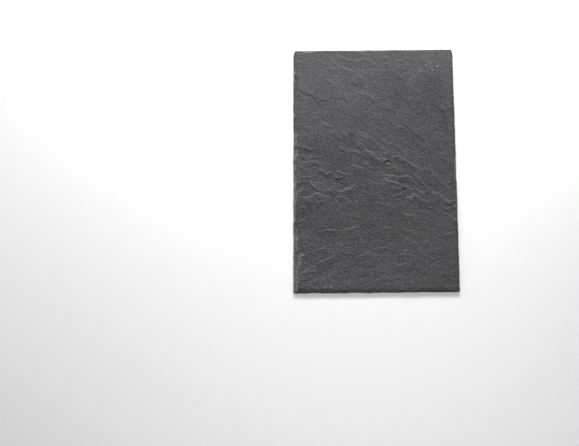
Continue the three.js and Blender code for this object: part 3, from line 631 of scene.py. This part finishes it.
# Each edge's bevel, the coordinate that it runs along, the length and the roundness of its chips,
# how pale they are, how deep the tool's teeth notch them, and how much painted shade darkens its
# rim. The right rim faces away from the light and the tail lies in shade, so both are painted
# dark.
EDGES = ((TAIL_BEVEL, x, 3.5, 1.0, 0.0, 0.5, 0.4), (RIGHT_BEVEL, y, 5.0, 0.3, 0.7, 0.0, 1.0),
         (HEAD_BEVEL, x, 7.0, 0.3, 0.4, 0.0, 0.0), (LEFT_BEVEL, y, 6.0, 0.1, 1.1, 0.1, 0.0))
CORNERS = [np.array(corner) for corner in (
    (-WIDTH / 2, -LENGTH / 2), (WIDTH / 2, -LENGTH / 2 + OUT_OF_SQUARE),
    (WIDTH / 2 - HEAD_TAPER, LENGTH / 2), (-WIDTH / 2, LENGTH / 2 - OUT_OF_SQUARE))]
# Height of the wall that a chip leaves at the very edge, and the shares by which chips vary in
# length, in reach and in that height.
LAND = 1.7
CHIP_LENGTHS, CHIP_REACHES, CHIP_LANDS = (0.25, 1.9), (0.75, 1.2), (0.5, 1.5)
# Length of the ripple in the chips' outlines, how far it moves the cuts between them, what share
# of their reach it changes, and the size of a tooth mark along the edge and in from it.
RIPPLE, CUT_RIPPLE, REACH_RIPPLE = 2.4, 0.8, 0.3
TOOTH_ALONG, TOOTH_IN = 1.3, 4
# Past its reach a chip's slope steepens by this, and at so many times the usual reach it ends.
# The last is a height over everything, where there is no chip.
PAST_REACH, CHIP_END = 1.5, 3
BEYOND = 99.0
# The seed of the chips, and how many of them are drawn for each that an edge would hold.
CHIP_SEED, CHIPS_TO_SPARE = 7, 1.3
# Thickness of a lamina, how clear a step it makes and between what shares of it, and how many
# laminae its edge wavers over, in waves of what size along the edge and in from it.
LAMINA, LAMINA_STEP, STEP_SPAN = 0.55, 0.7, (0.25, 0.75)
LAMINA_WAVER, WAVER_ALONG, WAVER_IN = 1.2, 4, 2
# A chip is palest at its inner rim, which lies at this share of its reach, and along the outer
# edge. Between them it is mottled, and chips of the lower reach aren't pale at all.
INNER_RIM, INNER_RIM_WIDTH, OUTER_RIM_WIDTH = 0.9, 0.2, 1.8
PLAIN_CHIP, RIM_CHIP, PALEST_CHIP = 0.25, 0.75, 1.2
MOTTLE, MOTTLE_WIDE, MOTTLE_HIGH = 0.5, 2, 3
DULL_REACH, PALE_REACH = 1.5, 2.8
# How far in from the rim the painted shade reaches, and how much it lowers the level.
RIM_SHADE_WIDTH, RIM_SHADE_DARKNESS = 2.2, 5.0


def dressed_edges():
    """Height that the blows leave along the four edges, how pale the break is, how much painted
    shade its rim gets, and how far in from the nearest edge each point lies."""
    rng = np.random.default_rng(CHIP_SEED)
    height, nearest = np.full(len(x), BEYOND), np.full(len(x), BEYOND)
    pale, painted_rim_shade = np.zeros(len(x)), np.zeros(len(x))
    ripple = noise_at(x / RIPPLE, y / RIPPLE, 71.0)
    for start, end, edge in zip(CORNERS, CORNERS[1:] + CORNERS[:1], EDGES):
        bevels, place, chip_length, belly, paleness, notches, rim_shade = edge
        side = end - start
        length = np.hypot(*side)
        side = side / length
        s = (x - start[0]) * side[0] + (y - start[1]) * side[1]
        inset = -(x - start[0]) * side[1] + (y - start[1]) * side[0]
        chip_count = int(CHIPS_TO_SPARE * length / chip_length)
        cuts = np.cumsum(chip_length * rng.uniform(*CHIP_LENGTHS, chip_count))
        chip = np.searchsorted(cuts, s + CUT_RIPPLE * ripple)
        size = rng.uniform(*CHIP_REACHES, len(cuts) + 1)[chip]
        land = LAND * rng.uniform(*CHIP_LANDS, len(cuts) + 1)[chip]
        dressing = np.interp(place, *zip(*bevels))
        teeth = noise_at(s / TOOTH_ALONG, inset / TOOTH_IN, 77.0)
        reach = dressing * size * (1 + REACH_RIPPLE * ripple + notches * teeth)
        t = inset / reach
        rounded = np.where(t < 1, t * (1 + belly * (1 - t)), 1 + PAST_REACH * (t - 1))
        bevel = land + (THICKNESS - land) * rounded
        waver = LAMINA_WAVER * noise_at(s / WAVER_ALONG, inset / WAVER_IN, 73.0)
        lamina = bevel / LAMINA + waver
        tread = np.floor(lamina) + smooth(lamina - np.floor(lamina), *STEP_SPAN)
        bevel += LAMINA_STEP * LAMINA * (tread - lamina)
        bevel = np.where(inset < CHIP_END * dressing, bevel, BEYOND)
        rims = (np.exp(-((t - INNER_RIM) / INNER_RIM_WIDTH) ** 2)
                + np.exp(-(inset / OUTER_RIM_WIDTH) ** 2))
        mottle = MOTTLE * noise_at(x / MOTTLE_WIDE, y / MOTTLE_HIGH, 75.0)
        mottle = np.clip(PLAIN_CHIP + RIM_CHIP * rims + mottle, 0, PALEST_CHIP)
        bare = paleness * mottle * smooth(dressing, DULL_REACH, PALE_REACH)
        pale = np.where(bevel < height, bare, pale)
        height = np.minimum(height, bevel)
        nearest = np.minimum(nearest, inset)
        painted_rim_shade = np.maximum(painted_rim_shade, rim_shade * np.exp(-(inset / RIM_SHADE_WIDTH) ** 2))
    return height, pale, painted_rim_shade, nearest


chips, pale, painted_rim_shade, nearest = dressed_edges()
# Painted shade: the right rim and the tail are darkened as if they lay in shade.
level_and_painted_shading = level_and_painted_shading - RIM_SHADE_DARKNESS * painted_rim_shade

# --- The slate: its bed ------------------------------------------------------------------------
# The hidden face that the slate lies on, of the same stone. It split cleanly and is flat, apart
# from a few shallow places where a sheet was lost.

# Each lost sheet's edge, run and depth, given as on the face.
BED_SHEETS = [
    ([(74, 118), (40, 103), (4, 101), (-36, 86)], 26, 0.45),
    ([(-80, 50), (-42, 41), (-8, 38), (32, 20)], 24, 0.4),
    ([(88, 16), (54, 5), (22, 3), (2, -8)], 28, 0.5),
    ([(-16, -52), (-50, -41), (-84, -20)], 20, 0.4),
    ([(-66, -112), (-22, -101), (24, -105), (64, -88)], 22, 0.45),
]
# Half of the length over which such a break rises.
BED_BREAK = 0.5
bed_height = np.zeros(len(x))
for edge, run, rise in BED_SHEETS:
    bed_height += sheet_height(x, y, edge, run, rise, BED_BREAK)[0]

# --- The slate: its mesh -----------------------------------------------------------------------
# Face, chipped edges and bed brought together on the grid, as one closed piece of stone. Its
# points carry what its finish needs to know: where it is broken, with the painted highlights on
# its brinks, how high it is, with its painted shade and light, how worn it is, where its wall is,
# and how its grain runs.

# Nothing stands above the highest point of the solid: heights ease off over this much below it.
HEADROOM = 0.6
# Height of the middle row of the wall, as a share of its height.
WALL_MIDDLE = 0.55
crest = slate_high[2] - HEADROOM
top = np.minimum(face, chips)
eased = crest + HEADROOM * (1 - np.exp(-(top - crest) / HEADROOM))
top = np.where(top > crest, eased, top)
z = np.where(on_face, top, np.where(on_bed, np.where(at_edge, 0, bed_height), WALL_MIDDLE * top))
for vert, px, py, pz in zip(slate_bm.verts, x, y, z):
    vert.co = (px * MM, py * MM, pz * MM)

# A chip is bare from where it cuts below the face, and a brink, with its painted highlight, half
# as bare. The layers that show in the wall fade out over the outer rim of the face.
CUT_FROM, CUT_BY = -0.05, 0.1
BRINK_BARE_AND_HIGHLIGHT = 0.5
LAYERS_FULL, LAYERS_GONE = 1.2, 2.4
broken_and_highlight = pale * np.where(on_face, smooth(face - chips, CUT_FROM, CUT_BY), 1.0)
broken_and_highlight = np.where(on_face, np.maximum(broken_and_highlight, BRINK_BARE_AND_HIGHLIGHT * brinks_and_highlights), broken_and_highlight)
broken_and_highlight = np.where(inside_bed, 0.0, broken_and_highlight)
wall = np.where(on_face, 1 - smooth(nearest, LAYERS_FULL, LAYERS_GONE),
                np.where(inside_bed, 0.0, 1.0))

slate_mesh = bpy.data.meshes.new("riven_slate")
grain_layer = slate_bm.loops.layers.uv.new("grain")
slate_bm.verts.index_update()
for mesh_face in slate_bm.faces:
    mesh_face.smooth = True
    for loop in mesh_face.loops:
        i = loop.vert.index
        loop[grain_layer].uv = (along[i] * MM, across[i] * MM)
slate_bm.to_mesh(slate_mesh)
slate_bm.free()
for name, values in (("broken_and_highlight", broken_and_highlight), ("level_and_painted_shading", level_and_painted_shading), ("wear", wear), ("wall", wall)):
    slate_mesh.attributes.new(name, "FLOAT", "POINT").data.foreach_set("value", values)
SHARP_ANGLE = 30
slate_mesh.set_sharp_from_angle(angle=math.radians(SHARP_ANGLE))
slate = bpy.data.objects.new("riven_slate", slate_mesh)
bpy.context.scene.collection.objects.link(slate)

# --- The slate: its stone ----------------------------------------------------------------------
# Natural slate as it was split: a dense, fine-grained stone of a dark neutral grey. The mica in
# its cleavage gives its matt face a faint sheen, fine streaks follow its grain, and it is paler
# where a sheet or an edge broke. That pale colour also paints a highlight on the brinks that face
# the light.


def hex_colour(code):
    """An sRGB hex colour as linear RGBA."""
    channels = [int(code[i:i + 2], 16) / 255 for i in (0, 2, 4)]
    return (*[c / 12.92 if c <= 0.04045 else ((c + 0.055) / 1.055) ** 2.4 for c in channels], 1)


def cells(size):
    """Scale of a pattern whose cells measure so many millimetres."""
    return 1 / (size * MM)


def node(tree, kind, settings, links):
    """Adds a shader node, sets its properties and input values, and links its inputs."""
    made = tree.nodes.new(kind)
    for name, value in settings.items():
        if isinstance(name, int) or name in made.inputs:
            made.inputs[name].default_value = value
        else:
            setattr(made, name, value)
    for name, socket in links.items():
        tree.links.new(socket, made.inputs[name])
    return made


DARK_STONE, PALE_STONE, BROKEN_STONE_AND_HIGHLIGHT = "28282a", "4c4c4e", "6c6c6e"
STONE_IOR, SHEEN_ROUGHNESS = 1.5, 0.5
# Tone at which the stone is darkest and palest, and the tone of plain stone before its patterns.
DARKEST, PALEST, GROUND_TONE = 0.415, 0.535, 0.29
# How much each pattern changes the tone.
STREAK_TONE, SPECK_TONE, STAIN_TONE, LEVEL_AND_SHADING_TONE = 0.5, 0.25, 0.12, 0.02
# Sizes of the patterns. The streaks are the edges of laminae a few tenths of a millimetre wide,
# and the grains of the stone are finer than a tenth. Both are too fine to show, so the streaks,
# the grit and the specks are drawn as coarse as they need to show.
STREAK_LONG, STREAK_WIDE, STREAK_DEPTH = 3.45, 1.23, 0.42
GRIT, GRIT_DEPTH = 1.56, 0.8
SPECK = 1.32
STAIN = 31
# In the wall the laminae show edge on, as flat layers.
LAYER_LONG, LAYER_THICK = 8.3, 0.67

split_slate = bpy.data.materials.new("split_slate")
split_slate.use_nodes = True
tree = split_slate.node_tree
tree.nodes.clear()
place = node(tree, "ShaderNodeTexCoord", {}, {})
grain_uv = node(tree, "ShaderNodeUVMap", {"uv_map": "grain"}, {})
broken_and_highlight_read = node(tree, "ShaderNodeAttribute", {"attribute_name": "broken_and_highlight"}, {})
level_and_shading_read = node(tree, "ShaderNodeAttribute", {"attribute_name": "level_and_painted_shading"}, {})
wear_read = node(tree, "ShaderNodeAttribute", {"attribute_name": "wear"}, {})
wall_read = node(tree, "ShaderNodeAttribute", {"attribute_name": "wall"}, {})

stretch = node(tree, "ShaderNodeMapping",
               {"Scale": (cells(STREAK_LONG), cells(STREAK_WIDE), 1)},
               {"Vector": grain_uv.outputs["UV"]})
streaks = node(tree, "ShaderNodeTexNoise",
               {"Scale": 1.0, "Detail": 5.0, "Roughness": 0.65, "Distortion": 0.6},
               {"Vector": stretch.outputs["Vector"]})
flatten = node(tree, "ShaderNodeMapping",
               {"Scale": (cells(LAYER_LONG), cells(LAYER_LONG), cells(LAYER_THICK))},
               {"Vector": place.outputs["Object"]})
layers = node(tree, "ShaderNodeTexNoise", {"Scale": 1.0, "Detail": 3.0, "Roughness": 0.6},
              {"Vector": flatten.outputs["Vector"]})
grain = node(tree, "ShaderNodeMix", {"data_type": "FLOAT"},
             {0: wall_read.outputs["Fac"], 2: streaks.outputs["Fac"], 3: layers.outputs["Fac"]})
grit = node(tree, "ShaderNodeTexNoise", {"Scale": cells(GRIT), "Detail": 3.0, "Roughness": 0.6},
            {"Vector": place.outputs["Object"]})
specks = node(tree, "ShaderNodeTexNoise",
              {"Scale": cells(SPECK), "Detail": 2.0, "Roughness": 0.6},
              {"Vector": place.outputs["Object"]})
stains = node(tree, "ShaderNodeTexNoise",
              {"Scale": cells(STAIN), "Detail": 3.0, "Roughness": 0.55},
              {"Vector": place.outputs["Object"]})

# The tone is a sum: the streaks, the more vivid the more the stone is worn, then the specks, the
# stains and the level of the face with its painted shade and light.
above_mean = node(tree, "ShaderNodeMath", {"operation": "SUBTRACT", 1: 0.5},
                  {0: grain.outputs[0]})
vivid = node(tree, "ShaderNodeMath", {"operation": "MULTIPLY"},
             {0: above_mean.outputs["Value"], 1: wear_read.outputs["Fac"]})
tone = node(tree, "ShaderNodeMath",
            {"operation": "MULTIPLY_ADD", 1: STREAK_TONE, 2: GROUND_TONE},
            {0: vivid.outputs["Value"]})
for pattern, weight in ((specks, SPECK_TONE), (stains, STAIN_TONE), (level_and_shading_read, LEVEL_AND_SHADING_TONE)):
    tone = node(tree, "ShaderNodeMath", {"operation": "MULTIPLY_ADD", 1: weight},
                {0: pattern.outputs["Fac"], 2: tone.outputs["Value"]})
stone_colour = node(tree, "ShaderNodeValToRGB", {}, {"Fac": tone.outputs["Value"]})
for element, position, code in zip(stone_colour.color_ramp.elements, (DARKEST, PALEST),
                                   (DARK_STONE, PALE_STONE)):
    element.position = position
    element.color = hex_colour(code)
# The pale colour of broken stone, which also paints the highlight on brinks that face the light.
colour = node(tree, "ShaderNodeMix", {"data_type": "RGBA", 7: hex_colour(BROKEN_STONE_AND_HIGHLIGHT)},
              {0: broken_and_highlight_read.outputs["Fac"], 6: stone_colour.outputs["Color"]})

bump_streaks = node(tree, "ShaderNodeBump", {"Strength": 1.0, "Distance": STREAK_DEPTH * MM},
                    {"Height": grain.outputs[0]})
bump_grit = node(tree, "ShaderNodeBump", {"Strength": 1.0, "Distance": GRIT_DEPTH * MM},
                 {"Height": grit.outputs["Fac"], "Normal": bump_streaks.outputs["Normal"]})
bsdf = node(tree, "ShaderNodeBsdfPrincipled", {"IOR": STONE_IOR, "Roughness": SHEEN_ROUGHNESS},
            {"Base Color": colour.outputs[2], "Normal": bump_grit.outputs["Normal"]})
node(tree, "ShaderNodeOutputMaterial", {}, {"Surface": bsdf.outputs["BSDF"]})
slate_mesh.materials.append(split_slate)
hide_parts("slate")
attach(slate, "root")

# --- The floor ---------------------------------------------------------------------------------
# A sheet of pale matt paper, far larger than the slate, laid level under it. It isn't part of the
# slate, and only carries it and its soft shadow.

FLOOR_HALF = 3.0
PAPER_WHITE = "fafafa"
PAPER_ROUGHNESS = 0.9
floor_mesh = bpy.data.meshes.new("floor")
floor_bm = bmesh.new()
bmesh.ops.create_grid(floor_bm, x_segments=1, y_segments=1, size=FLOOR_HALF)
floor_bm.to_mesh(floor_mesh)
floor_bm.free()
floor = bpy.data.objects.new("floor", floor_mesh)
bpy.context.scene.collection.objects.link(floor)
paper = bpy.data.materials.new("pale_floor")
paper.use_nodes = True
paper_shader = paper.node_tree.nodes["Principled BSDF"]
paper_shader.inputs["Base Color"].default_value = hex_colour(PAPER_WHITE)
paper_shader.inputs["Roughness"].default_value = PAPER_ROUGHNESS
floor_mesh.materials.append(paper)

# --- The lights --------------------------------------------------------------------------------
# Soft boxes round the slate and a dim white studio. The key stands low beyond the head, so that
# its light rakes down the face and picks out each broken edge.


def softbox(name, stand, aim, size, power):
    """A rectangular area light of so many watts, at a stand and aimed at a point, all in metres.
    The camera doesn't see it."""
    light_data = bpy.data.lights.new(name, "AREA")
    light_data.shape = "RECTANGLE"
    light_data.size, light_data.size_y = size
    light_data.energy = power
    light = bpy.data.objects.new(name, light_data)
    light.location = stand
    light.rotation_euler = (Vector(aim) - Vector(stand)).to_track_quat("-Z", "Y").to_euler()
    light.visible_camera = False
    bpy.context.scene.collection.objects.link(light)


softbox("strip", (0.00, 0.30, 0.22), (0.02, 0.10, 0), (0.7, 0.06), 1.45)
softbox("key", (0.05, 1.80, 1.05), (0, 0, 0), (1.0, 0.55), 31.1)
softbox("left", (-0.9, 0.15, 0.35), (0, 0, 0), (0.4, 0.3), 1.2)
softbox("overhead", (0.0, -0.28, 0.62), (0, -0.20, 0), (0.5, 0.3), 1.6)
STUDIO_GLOW = 0.14
world = bpy.data.worlds.new("studio")
world.use_nodes = True
world.node_tree.nodes["Background"].inputs["Color"].default_value = (1, 1, 1, 1)
world.node_tree.nodes["Background"].inputs["Strength"].default_value = STUDIO_GLOW
bpy.context.scene.world = world
bpy.context.scene.view_settings.view_transform = "Standard"

# --- The camera --------------------------------------------------------------------------------
# It looks straight down from 2 m above the face, where its view is 0.71 m wide. The middle of the
# view lies just off the slate's left edge and towards its tail, so the slate is on the right.

VIEW_CENTRE = Vector((-0.1074, -0.0633, 0))
VIEW_WIDTH = 0.7123
CAMERA_HEIGHT = 2.0
SENSOR_WIDTH = 36
camera_data = bpy.data.cameras.new("camera")
camera_data.sensor_width = SENSOR_WIDTH
camera_data.lens = SENSOR_WIDTH * CAMERA_HEIGHT / VIEW_WIDTH
camera = bpy.data.objects.new("camera", camera_data)
camera.location = VIEW_CENTRE + Vector((0, 0, CAMERA_HEIGHT + THICKNESS * MM))
bpy.context.scene.collection.objects.link(camera)
bpy.context.scene.camera = camera
